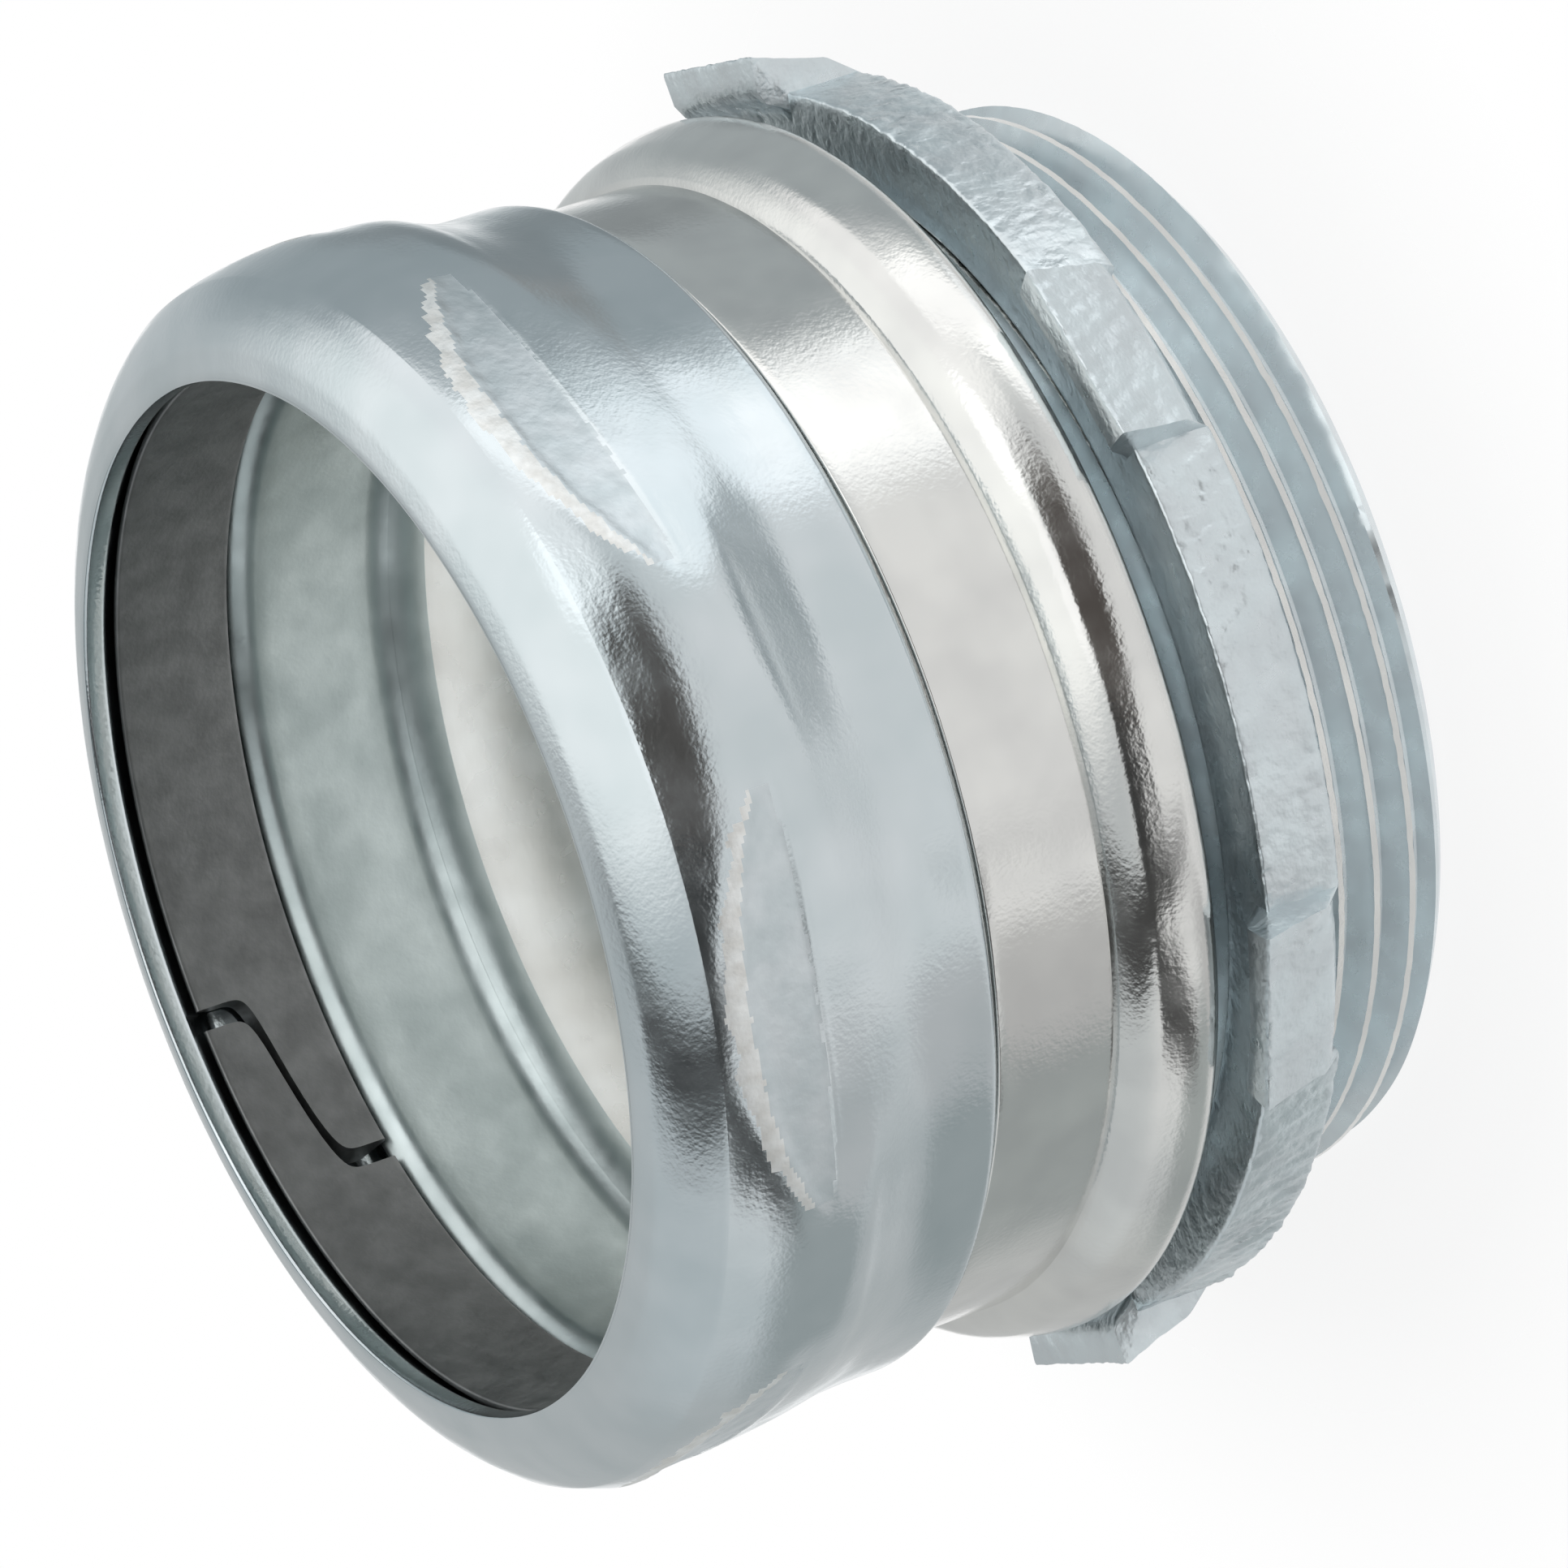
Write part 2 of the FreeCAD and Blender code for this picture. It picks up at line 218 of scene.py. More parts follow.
def divided(points, closed, spacing):
    """The points with their long gaps divided evenly."""
    followers = points[1:] + points[:1] if closed else points[1:]
    finer = []
    for start, end in zip(points, followers):
        parts = max(1, math.ceil((end - start).length / spacing))
        finer += [start.lerp(end, part / parts) for part in range(parts)]
    return finer if closed else finer + [points[-1]]


def through(points, parts):
    """A smooth line through all the points."""
    places = [Vector(point) for point in points]
    padded = [places[0]] + places + [places[-1]]
    line = [places[0]]
    for before, start, end, after in zip(padded, padded[1:], padded[2:], padded[3:]):
        first = start + (end - before) / 6
        second = end - (after - start) / 6
        line += geometry.interpolate_bezier(start, first, second, end, parts + 1)[1:]
    return line


def wire(bm, profile, closed):
    """The profile as edges in the plane of X and Z."""
    verts = [bm.verts.new((point[0], 0, point[1])) for point in profile]
    pairs = zip(verts, verts[1:] + verts[:1]) if closed else zip(verts, verts[1:])
    return verts + [bm.edges.new(pair) for pair in pairs]


def turned(profile, closed, columns, sweep=2 * math.pi, rise=0.0, turns=1):
    """The surface that a profile sweeps about the axis, rising by the same in each turn."""
    bm = bmesh.new()
    wire(bm, profile, closed)
    holder = bpy.data.objects.new("profile", bpy.data.meshes.new("profile"))
    bm.to_mesh(holder.data)
    bm.clear()
    bpy.context.scene.collection.objects.link(holder)
    screw = holder.modifiers.new("sweep", "SCREW")
    screw.axis = "Z"
    screw.angle = sweep
    screw.steps = columns
    screw.render_steps = columns
    screw.screw_offset = rise
    screw.iterations = turns
    screw.use_merge_vertices = turns == 1 and sweep == 2 * math.pi
    screw.merge_threshold = WELD
    ready = holder.evaluated_get(bpy.context.evaluated_depsgraph_get())
    bm.from_mesh(ready.data)
    spare = holder.data
    bpy.data.objects.remove(holder)
    bpy.data.meshes.remove(spare)
    return bm


def joined(*parts):
    """One mesh of several; the parts are used up."""
    bm = bmesh.new()
    for part in parts:
        mesh = bpy.data.meshes.new("part")
        part.to_mesh(mesh)
        part.free()
        bm.from_mesh(mesh)
        bpy.data.meshes.remove(mesh)
    return bm


def polar(vert):
    """A vertex's radius and its turn about the axis."""
    return math.hypot(vert.co.x, vert.co.y), math.atan2(vert.co.y, vert.co.x)


def put(vert, radius, turn, height):
    """Moves a vertex to a radius, a turn about the axis and a height."""
    vert.co = (radius * math.cos(turn), radius * math.sin(turn), height)


# A thread's radius changes by this much for each millimetre away from its chamfer or run-out
END_SLOPE = 1.2
# Longest step along a thread's profile
THREAD_STEP = 0.55
# The crests of a rolled thread are rough: how deep that goes, how far it shifts their edges
# and how many times it changes in a millimetre
CREST_DEPTH = 0.05
CREST_SHIFT = 0.06
CREST_CHANGES = 1.4


def limited(radius, distance, end_radius, root):
    """A thread's radius near an end: a chamfer if the end is small, a run-out if it is large."""
    if end_radius <= root:
        return min(radius, end_radius + END_SLOPE * distance)
    return max(radius, end_radius - END_SLOPE * distance)


def thread(crest, depth, pitch, flats, heights, end_radii, columns):
    """A right-handed screw thread between two heights, ending in a circle at each."""
    low, high = heights
    crest_width, root_width = flats
    flank = (pitch - crest_width - root_width) / 2
    root = crest - depth
    profile = divided([Vector(point) for point in (
        (root, low - pitch),
        (root, low - pitch + root_width),
        (crest, low - pitch + root_width + flank),
        (crest, low - pitch + root_width + flank + crest_width),
        (root, low),
    )], False, THREAD_STEP)
    turns = math.ceil((high - low) / pitch) + 1
    bm = turned(profile, False, columns, rise=pitch, turns=turns)
    step = 2 * math.pi / columns
    for vert in bm.verts:
        radius, turn = polar(vert)
        height = min(max(vert.co.z, low), high)
        if radius > crest - CREST_DEPTH:
            rough = noise.noise(Vector((
                turn * crest * CREST_CHANGES, height * CREST_CHANGES, 0)))
            radius -= CREST_DEPTH * abs(rough)
            height = min(max(height + CREST_SHIFT * rough, low), high)
        radius = limited(radius, height - low, end_radii[0], root)
        radius = limited(radius, high - height, end_radii[1], root)
        put(vert, radius, round(turn / step) * step, height)
    return bm


# The wall's waves: the weight of the shorter ones, how many of them go in a long one, and how
# far the wall is drawn in, in wave depths, so that the waves hardly ever pass its radius
SHORT_WAVES = 0.5
SHORT_IN_LONG = 2.3
WAVES_DRAWN_IN = 0.9
# Length of the long waves on the two drawn pieces
BODY_WAVE_LENGTH = 7.0
NUT_WAVE_LENGTH = 8.0


def waved(bm, depth, length):
    """Lets the wall wave in and out a little, as drawn sheet metal does."""
    for vert in bm.verts:
        radius, turn = polar(vert)
        spot = vert.co / length
        wave = noise.noise(spot) + SHORT_WAVES * noise.noise(spot * SHORT_IN_LONG)
        put(vert, radius + depth * (wave - WAVES_DRAWN_IN), turn, vert.co.z)


def finished(bm, name, body, node, materials, corner=32):
    """Makes the piece from its mesh with its materials, and ties it to its body and node.

    An edge that folds by more than corner, in degrees, is shaded sharp.
    """
    bmesh.ops.remove_doubles(bm, verts=bm.verts, dist=WELD)
    bmesh.ops.dissolve_degenerate(bm, edges=bm.edges, dist=WELD)
    bmesh.ops.recalc_face_normals(bm, faces=bm.faces)
    bmesh.ops.scale(bm, vec=(MM, MM, MM), verts=bm.verts)
    mesh = bpy.data.meshes.new(name)
    bm.to_mesh(mesh)
    bm.free()
    mesh.shade_smooth()
    mesh.set_sharp_from_angle(angle=math.radians(corner))
    for material in materials:
        mesh.materials.append(material)
    piece = bpy.data.objects.new(name, mesh)
    bpy.context.scene.collection.objects.link(piece)
    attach(piece, body)
    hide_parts(node)


# Shapes of the four pieces

# The bead, from the seating face to near the step line: how far inside the bead's crest and
# how far above the seating face
BEAD = (
    (1.85, 0), (1.1, 0.05), (0.55, 0.25), (0.25, 0.6), (0.15, 1.05), (0.17, 1.5), (0.24, 1.95),
    (0.34, 2.4), (0.47, 2.85), (0.61, 3.3), (0.76, 3.7), (1.0, 4.1), (1.35, 4.5), (1.8, 4.87),
)
# How far the bead's end stands out of the neck, and how high the step line is
STEP_OUT = 0.35
STEP_RISE = 0.12
# A thread's roots lie this far outside the wall that carries it
UNDER_ROOT = 0.05
# The box thread is worn bright to this depth below its crests
WORN_DEPTH = 0.05
# How high the mouth's chamfer is
MOUTH_CHAMFER = 0.95
# How far below the stop its slope ends, its land ends, the throat begins and the socket's
# painted shade gives way to the throat's painted light
STOP_SLOPE = 1.2
STOP_LAND = 5.6
THROAT_START = 8.8
STOP_REACH = 2.2


def body_outside(s):
    """From the seating face over the bead and the neck to the compression thread."""
    bead_end = (s.neck_radius + STEP_OUT, s.step_height)
    bead = [(s.bead_radius - inside, s.seat_height + above) for inside, above in BEAD]
    bead = through(bead + [bead_end], 4)
    neck = rounded([
        (*bead_end, 0),
        (s.neck_radius, s.step_height + STEP_RISE, 0),
        (s.neck_radius, s.neck_top, 0.15),
        (s.screw_radius, s.neck_top, 0),
    ], False, 0.6)
    return [Vector((s.thread_radius, s.seat_height))] + bead + neck[1:]


def body_inside(s):
    """From the compression thread's front edge through the bore to the threaded end."""
    return rounded([
        (s.screw_radius - s.screw_depth - UNDER_ROOT, s.height, 0),
        (s.mouth_radius, s.height, 0.2),
        (s.socket_radius, s.height - MOUTH_CHAMFER, 0.6),
        (s.socket_radius, s.stop_height, 0.7),
        (s.stop_radius, s.stop_height - STOP_SLOPE, 1.3),
        (s.stop_radius, s.stop_height - STOP_LAND, 2.5),
        (s.throat_radius, s.stop_height - THROAT_START, 2.5),
        (s.throat_radius, 0, 0.3),
        (s.thread_radius - s.thread_depth - UNDER_ROOT, 0, 0),
    ], False, 0.9)


def build_body(s, finishes):
    """The finishes are those of the outside and crests, the threads, the socket in painted shade
    and the throat in painted light.
    """
    outside = turned(body_outside(s), False, s.columns)
    inside = turned(body_inside(s), False, s.columns)
    root = s.thread_radius - s.thread_depth
    box_thread = thread(
        s.thread_radius, s.thread_depth, s.thread_pitch, (s.thread_crest, s.thread_root),
        (0, s.seat_height), (root - UNDER_ROOT, s.thread_radius), s.columns)
    root = s.screw_radius - s.screw_depth
    screw_thread = thread(
        s.screw_radius, s.screw_depth, s.screw_pitch, (s.screw_crest, s.screw_root),
        (s.neck_top, s.height), (s.screw_radius, root - UNDER_ROOT), s.columns)
    worn_radius = s.thread_radius - WORN_DEPTH
    for face in [*box_thread.faces, *screw_thread.faces]:
        # Both threads are blue inside the worn radius and bright outside it. The compression
        # thread is the larger one, so more of it is bright
        is_worn = face.calc_center_median().xy.length > worn_radius
        face.material_index = 0 if is_worn else 1
    # The socket down to STOP_REACH below the stop is painted darker, a painted shade; the throat
    # below it is painted paler, a painted light
    for face in inside.faces:
        height = face.calc_center_median().z
        face.material_index = 2 if height > s.stop_height - STOP_REACH else 3
    bm = joined(outside, inside, box_thread, screw_thread)
    bmesh.ops.remove_doubles(bm, verts=bm.verts, dist=WELD)
    waved(bm, s.wave, BODY_WAVE_LENGTH)
    finished(bm, "body_shell", "connector", "connector_body", finishes)


# The crown, from the skirt to the lip: how far outside the skirt and how far below the lip
CROWN = (
    (0, 16.8), (0.06, 15.9), (0.2, 15.0), (0.47, 14.0), (0.82, 13.0), (1.2, 12.0), (1.57, 11.2),
    (1.8, 10.5), (1.94, 9.8), (1.97, 9.0), (1.92, 8.0), (1.83, 7.0), (1.68, 6.0), (1.45, 5.0),
    (1.14, 4.0), (0.91, 3.3), (0.76, 2.9),
)


# The lip's face, from the crown inwards: how far outside the skirt, how far below the lip and
# how much each corner is rounded
LIP_FACE = ((0.05, 2.0, 0.5), (-1.1, 1.05, 0.6), (-2.3, 0.42, 0.3))
# Width of the bevel at the lip's bore, and height of the cone that presses on the ring
LIP_BEVEL = 0.35
CONE_HEIGHT = 2.13


def nut_profile(s):
    """Closed outline of the nut: rim, skirt, swelling crown, lip and bore."""
    top = s.lip_height
    crown = [(s.skirt_radius + outside, top - below) for outside, below in CROWN]
    skirt = rounded([
        (s.bore_radius, s.rim_height, 0),
        (s.skirt_radius, s.rim_height, 0.45),
        (*crown[0], 0),
    ], False, 0.45)
    lip = rounded([
        (*crown[-1], 0),
        *[(s.skirt_radius + outside, top - below, soft) for outside, below, soft in LIP_FACE],
        (s.lip_radius + LIP_BEVEL, top, 0.3),
        (s.lip_radius, top, 0.2),
        (s.lip_radius, top - s.lip_thickness, 0.15),
        (s.bore_radius, top - s.lip_thickness - CONE_HEIGHT, 0.3),
        (s.bore_radius, s.rim_height, 0),
    ], False, 0.5)
    return skirt[:-1] + through(crown, 5)[:-1] + lip[:-1]


# Places along the nut are depths below its lip. The flats lie between these two, and fade out
# from the depth where the valley begins
FLAT_RANGE = (2, 16.5)
FLAT_FADE = 14
# Only the outside is pressed: the wall from this far inside the skirt's radius
PRESSED_WALL = 0.5
# The ends of the flats lie this far outside the skirt at this depth. From there down the
# flats draw in with this slope
FLAT_OUT = 1.95
FLAT_LEVEL = 7
FLAT_SLOPE = 0.055
# The fold into a flat grows softer between these depths, by this share
SOFTER_RANGE = (6, 9)
SOFTER_SHARE = 2.5
# Front and rear edges of a leaf at its middle, and how far they draw in towards its ends
LEAF_FRONT = 4.9
LEAF_FRONT_DRAW = 2.8
LEAF_BACK = 8.9
LEAF_BACK_DRAW = 0.35
# How far the leaf's edges wander, in long and in short strokes
LONG_RAGGED = 0.2
SHORT_RAGGED = 0.12
# A leaf's face slopes in over these widths at its front and rear edges, and its ends fade
# between these shares of the way to the flat's ends
FRONT_SLOPE = 0.5
BACK_SLOPE = 0.15
LEAF_ENDS = (1.06, 0.9)
# How deep the face is rippled
RIPPLE = 0.015
# The ridge before a leaf: how far it reaches away from the leaf and over it
RIDGE_AWAY = 0.8
RIDGE_OVER = 0.6
# The raised rear edge: its height as a share of the ridge's, its place and its reach
EDGE_SHARE = 0.4
EDGE_PLACE = 0.3
EDGE_REACH = 0.2
# Width of the band of painted highlight before a leaf at its ends, what its middle has more, and
# how ragged it is
BAND_WIDTH = 0.45
BAND_SWELL = 0.75
BAND_RAGGED = 0.5
# The leaf and its band take their finishes up to this share of the way to the flat's ends,
# and up to this far behind the rear edge
MARKED_SHARE = 0.98
MARKED_BEHIND = 0.6


def along_flat(s, turn):
    """How far from the middle of the nearest flat, as a share of the way to the flat's end."""
    spacing = 2 * math.pi / s.flat_count
    return ((turn - s.flat_angle + spacing / 2) % spacing - spacing / 2) / s.flat_reach


def leaf_edges(turn, depth, along):
    """Ragged front and rear edges of the leaf in a flat, as depths below the lip."""
    ragged = LONG_RAGGED * noise.noise(Vector((turn * 24, 3.1, 0.2 * depth)))
    ragged += SHORT_RAGGED * noise.noise(Vector((turn * 70, 8.3, 0.5 * depth)))
    front = LEAF_FRONT + LEAF_FRONT_DRAW * abs(along) ** 2.4 + ragged
    back = LEAF_BACK - LEAF_BACK_DRAW * along ** 4 + 0.4 * ragged
    return front, back


def flat_radius(s, radius, depth, along):
    """The radius once the flat is pressed in; the crown folds over into it softly."""
    crown = s.skirt_radius + FLAT_OUT
    floor = crown - s.flat_depth * (1 - along * along) - FLAT_SLOPE * (depth - FLAT_LEVEL)
    fold = s.fold * (1 + SOFTER_SHARE * smooth(depth, *SOFTER_RANGE))
    pressed = radius - fold * math.log1p(math.exp((radius - floor) / fold))
    return radius + (pressed - radius) * smooth(depth, FLAT_RANGE[1], FLAT_FADE)


def leaf_relief(s, turn, depth, along):
    """How far the leaf, the ridge before it and its raised rear edge stand out."""
    front, back = leaf_edges(turn, depth, along)
    ripple = noise.noise(Vector((turn * 60, depth * 1.2, 0.4)))
    within = smooth(abs(along), *LEAF_ENDS)
    leaf = smooth(depth, front, front + FRONT_SLOPE)
    leaf *= smooth(depth, back + BACK_SLOPE, back - BACK_SLOPE)
    sunk = (s.leaf_depth - RIPPLE * ripple) * leaf
    ahead = depth - front
    ridge = math.exp(-(ahead / (RIDGE_AWAY if ahead < 0 else RIDGE_OVER)) ** 2)
    edge = EDGE_SHARE * math.exp(-((depth - back - EDGE_PLACE) / EDGE_REACH) ** 2)
    raised = s.ridge_height * (ridge + edge) * (0.9 + 0.3 * ripple)
    return (raised - sunk) * within


def press_flats(bm, s):
    """Presses the flats into the crown; each holds a rough leaf with a ridge before it."""
    for vert in bm.verts:
        radius, turn = polar(vert)
        depth = s.lip_height - vert.co.z
        is_outside = radius >= s.skirt_radius - PRESSED_WALL
        if not is_outside or not FLAT_RANGE[0] < depth < FLAT_RANGE[1]:
            continue
        along = along_flat(s, turn)
        pressed = flat_radius(s, radius, depth, along) + leaf_relief(s, turn, depth, along)
        put(vert, pressed, turn, vert.co.z)


def mark_leaves(bm, s):
    """Gives the band before each leaf, which is a painted highlight, and the leaf, finishes of
    their own.
    """
    for face in bm.faces:
        centre = face.calc_center_median()
        turn = math.atan2(centre.y, centre.x)
        depth = s.lip_height - centre.z
        along = along_flat(s, turn)
        is_beside = abs(along) > MARKED_SHARE or depth > LEAF_BACK + MARKED_BEHIND
        if is_beside or centre.xy.length < s.skirt_radius:
            continue
        front, back = leaf_edges(turn, depth, along)
        width = BAND_WIDTH + BAND_SWELL * (1 - along * along)
        width += BAND_RAGGED * noise.noise(Vector((turn * 30, 1.7, depth * 0.8)))
        # The band before the leaf is painted white: a painted highlight
        if front - width < depth < front:
            face.material_index = 1
        elif front <= depth < back:
            face.material_index = 2


def build_nut(s, finishes):
    """The finishes are those of the nut, the bands of painted highlight and the leaves."""
    bm = turned(nut_profile(s), True, s.columns)
    waved(bm, s.wave, NUT_WAVE_LENGTH)
    press_flats(bm, s)
    mark_leaves(bm, s)
    finished(bm, "gland_nut_shell", "nut", "gland_nut", finishes)


def ring_profile(s):
    """Closed outline of the ring; the rows at its middle stand close, where the slit runs."""
    top = s.foot_height + s.length
    cone = s.radius - s.bore_radius - s.land
    return rounded([
        (s.bore_radius, s.foot_height, 0.12),
        (s.bore_radius + s.land, s.foot_height, 0.1),
        (s.radius, s.foot_height + cone, 0.2),
        (s.radius, top - cone, 0.2),
        (s.bore_radius + s.land, top, 0.1),
        (s.bore_radius, top, 0.12),
    ], True, 0.14)


# How sharply the split turns into the slit at the ring's middle
SPLIT_SHARPNESS = 13.5
# The share of the way round, from each end of the ring, that follows the split's curve
SPLIT_REACH = 0.12
# The ring is first turned this much short of a full turn, so that its ends stay apart
OPEN_SHARE = 1e-4


def split_curve(s, height, side):
    """The turn, about the split's middle, of the ring's end on one side at a height."""
    middle = s.foot_height + s.length / 2
    above = (height - middle - side * s.slit / 2) / s.length
    return -s.lap_angle / 2 * math.tanh(SPLIT_SHARPNESS * above)


def build_ring(s, material):
    """The ring as an open C, whose ends follow the stepped split on both sides."""
    bm = turned(ring_profile(s), True, s.columns, sweep=2 * math.pi * (1 - OPEN_SHARE))
    bmesh.ops.holes_fill(bm, edges=[edge for edge in bm.edges if edge.is_boundary])
    bmesh.ops.triangulate(bm, faces=[face for face in bm.faces if len(face.verts) > 4])
    middle_turn = s.split_angle + s.lap_angle / 2
    for vert in bm.verts:
        radius, turn = polar(vert)
        turn %= 2 * math.pi
        share = turn / (2 * math.pi)
        half_gap = s.gap / 2 / radius
        start = split_curve(s, vert.co.z, 1) + half_gap
        end = split_curve(s, vert.co.z, -1) - half_gap
        near_start = smooth(share, SPLIT_REACH, 0.0)
        near_end = smooth(share, 1 - SPLIT_REACH, 1.0)
        moved = turn + start * near_start + end * near_end
        put(vert, radius, middle_turn + moved, vert.co.z)
    finished(bm, "split_ring", "ring", "compression_ring", [material])


def locknut_profile(s):
    top = s.foot_height + s.thickness
    return rounded([
        (s.bore_radius, s.foot_height, 0.4),
        (s.radius, s.foot_height, 0.3),
        (s.radius, top, 0.15),
        (s.bore_radius, top, 0.4),
    ], True, 0.3)


# The lugs of the locknut: the distance over which they bend, how far the back of a lug lies
# above the locknut's back at its root and more at its end, and how its end slants
LUG_BEND_WIDTH = 2.1
LUG_DROP = 0.7
LUG_TUCK = 1.6
LUG_SLANT = 1.3
# The end's slope begins this far out of the root, and would end this far past the end
TUCK_START = 1.4
TUCK_PAST = 0.4
# Width of the step at a lug's side, as a share of a column on each side
STEP_SHARE = 0.08


def bend_lugs(bm, s):
    """Draws the lugs out of the rim and bends them forward, with a step at each side."""
    spacing = 2 * math.pi / s.lug_count
    half = math.asin(s.lug_width / 2 / s.lug_distance)
    column = 2 * math.pi / s.columns
    for vert in bm.verts:
        radius, turn = polar(vert)
        off = (turn - s.lug_angle + spacing / 2) % spacing - spacing / 2
        side = half - abs(off)
        if abs(side) < column:
            # The two columns beside a lug's side close up to a sharp step
            near = math.copysign(STEP_SHARE * column, side)
            turn += math.copysign(side - near, off)
            off = math.copysign(half - near, off)
        if side < 0 or radius <= s.lug_root:
            put(vert, radius, turn, vert.co.z)
            continue
        share = (vert.co.z - s.foot_height) / s.thickness
        flat = (s.lug_distance - LUG_SLANT * (1 - share)) / math.cos(off)
        new = s.lug_root + (radius - s.lug_root) * (flat - s.lug_root) / (s.radius - s.lug_root)
        rise = smooth(new, s.lug_root, s.lug_root + LUG_BEND_WIDTH)
        tuck = smooth(new, s.lug_root + TUCK_START, s.lug_distance + TUCK_PAST)
        back = s.foot_height + LUG_DROP * rise + LUG_TUCK * tuck
        front = s.foot_height + s.thickness + s.lug_bend * rise
        put(vert, new, turn, back + (front - back) * share)


# The outer edge is marked this far in
EDGE_DEPTH = 0.45


def coarsen(bm, s):
    """Leaves the coarse slanting marks of the punch on the outer edge, deeper in patches."""
    for vert in bm.verts:
        radius, turn = polar(vert)
        if radius < s.radius - EDGE_DEPTH:
            continue
        around = turn * s.radius
        # A mark every millimetre or so, finer ones between them, and patches with more of both
        mark = noise.noise(Vector((around * 1.3 + vert.co.z * 0.6, vert.co.z * 0.35, 5.0)))
        fine = noise.noise(Vector((around * 2.6, vert.co.z * 1.5, 9.0)))
        patch = noise.noise(Vector((around * 0.18, vert.co.z * 0.2, 2.0)))
        inset = s.coarseness * (1.1 + (mark + 0.7 * fine) * (0.6 + patch))
        put(vert, radius - inset, turn, vert.co.z)


def build_locknut(s, material):
    bm = turned(locknut_profile(s), True, s.columns)
    bend_lugs(bm, s)
    coarsen(bm, s)
    finished(
        bm, "locknut_plate", "locking_nut", "locknut", [material], corner=40)


# Materials


def add(tree, kind, inputs=None, **settings):
    """Adds a node; an input given as another node's socket is linked to it."""
    node = tree.nodes.new(kind)
    for name, value in settings.items():
        setattr(node, name, value)
    for name, value in (inputs or {}).items():
        if isinstance(value, bpy.types.NodeSocket):
            tree.links.new(value, node.inputs[name])
        else:
            node.inputs[name].default_value = value
    return node


def grain(tree, spot, millimetres, detail=2.0, roughness=0.5):
    """Noise whose clouds are about this many millimetres across."""
    return add(tree, "ShaderNodeTexNoise", {
        "Vector": spot, "Scale": 1 / (millimetres * MM), "Detail": detail,
        "Roughness": roughness}).outputs["Fac"]


def ranged(tree, value, low, high, out_low, out_high):
    return add(tree, "ShaderNodeMapRange", {
        "Value": value, "From Min": low, "From Max": high, "To Min": out_low,
        "To Max": out_high}).outputs["Result"]


def bump(tree, height, millimetres, below=None):
    inputs = {"Height": height, "Distance": millimetres * MM, "Strength": 1.0}
    if below:
        inputs["Normal"] = below
    return add(tree, "ShaderNodeBump", inputs).outputs["Normal"]


# The middle part of a noise's values, which is stretched to the whole range: for the colour's
# clouds, and for the gloss, whose clouds are smaller by this share
CLOUD_VALUES = (0.35, 0.65)
GLOSS_VALUES = (0.3, 0.7)
GLOSS_SHARE = 0.4


def plate(name, bright, dull, gloss, cloud, speck, dent):
    """Zinc plate on steel: soft clouds in its colour, a fine crystal grain and shallow dents.

    gloss is the roughness of its brightest and dullest spots. cloud is the size of the
    colour's clouds, and speck and dent are the (size, depth) of the grain and of the dents,
    all in millimetres. Zinc's crystals are too fine to show in the render, so the grain is
    drawn as coarse as it needs to break up what the metal mirrors.
    """
    material = bpy.data.materials.new(name)
    material.use_nodes = True
    tree = material.node_tree
    tree.nodes.clear()
    spot = add(tree, "ShaderNodeTexCoord").outputs["Object"]
    clouds = ranged(tree, grain(tree, spot, cloud), *CLOUD_VALUES, 0, 1)
    shade = add(tree, "ShaderNodeMix", {"Factor": clouds}, data_type="RGBA")
    shade.inputs[6].default_value = list(bright) + [1]
    shade.inputs[7].default_value = list(dull) + [1]
    rough = ranged(tree, grain(tree, spot, cloud * GLOSS_SHARE), *GLOSS_VALUES, *gloss)
    dents = bump(tree, grain(tree, spot, dent[0], 1.0), dent[1])
    specks = bump(tree, grain(tree, spot, speck[0], 1.5, 0.6), speck[1], dents)
    shader = add(tree, "ShaderNodeBsdfPrincipled", {
        "Base Color": shade.outputs[2], "Roughness": rough, "Normal": specks, "Metallic": 1.0})
    add(tree, "ShaderNodeOutputMaterial", {"Surface": shader.outputs["BSDF"]})
    return material


def bright_zinc_on_drawn_tube(colours):
    """Smooth drawn wall under bright zinc: clear reflections that break up into grain."""
    return plate(
        "bright_zinc_on_drawn_tube", colours.zinc, colours.zinc_dull,
        gloss=(0.11, 0.2), cloud=5.0, speck=(0.3, 0.012), dent=(3.0, 0.006))


def blue_zinc_on_rolled_thread(colours):
    """Rolled thread under blue zinc: smooth satin flanks with a cool tint."""
    return plate(
        "blue_zinc_on_rolled_thread", colours.thread_zinc, colours.blue_zinc,
        gloss=(0.24, 0.34), cloud=3.0, speck=(0.25, 0.002), dent=(1.5, 0.003))


def painted_shade_in_the_socket(colours):
    """Drawn socket painted a duller, teal grey as painted shade, which blurs what it mirrors."""
    return plate(
        "painted_shade_in_the_socket", colours.socket_shade_zinc, colours.socket_shade_zinc_dull,
        gloss=(0.28, 0.4), cloud=4.0, speck=(0.3, 0.006), dent=(2.5, 0.01))


def painted_light_in_the_throat(colours):
    """Throat painted a pale zinc as painted light, with soft reflections."""
    return plate(
        "painted_light_in_the_throat", colours.painted_light_zinc, colours.zinc,
        gloss=(0.2, 0.3), cloud=5.0, speck=(0.25, 0.004), dent=(3.0, 0.006))


def painted_highlight_beside_a_leaf(colours):
    """Zinc piled up by the press tool before a leaf, painted white as a highlight: rough and
    crumbly.
    """
    return plate(
        "painted_highlight_beside_a_leaf", colours.painted_light_zinc, colours.zinc,
        gloss=(0.4, 0.55), cloud=1.0, speck=(0.3, 0.02), dent=(0.9, 0.03))


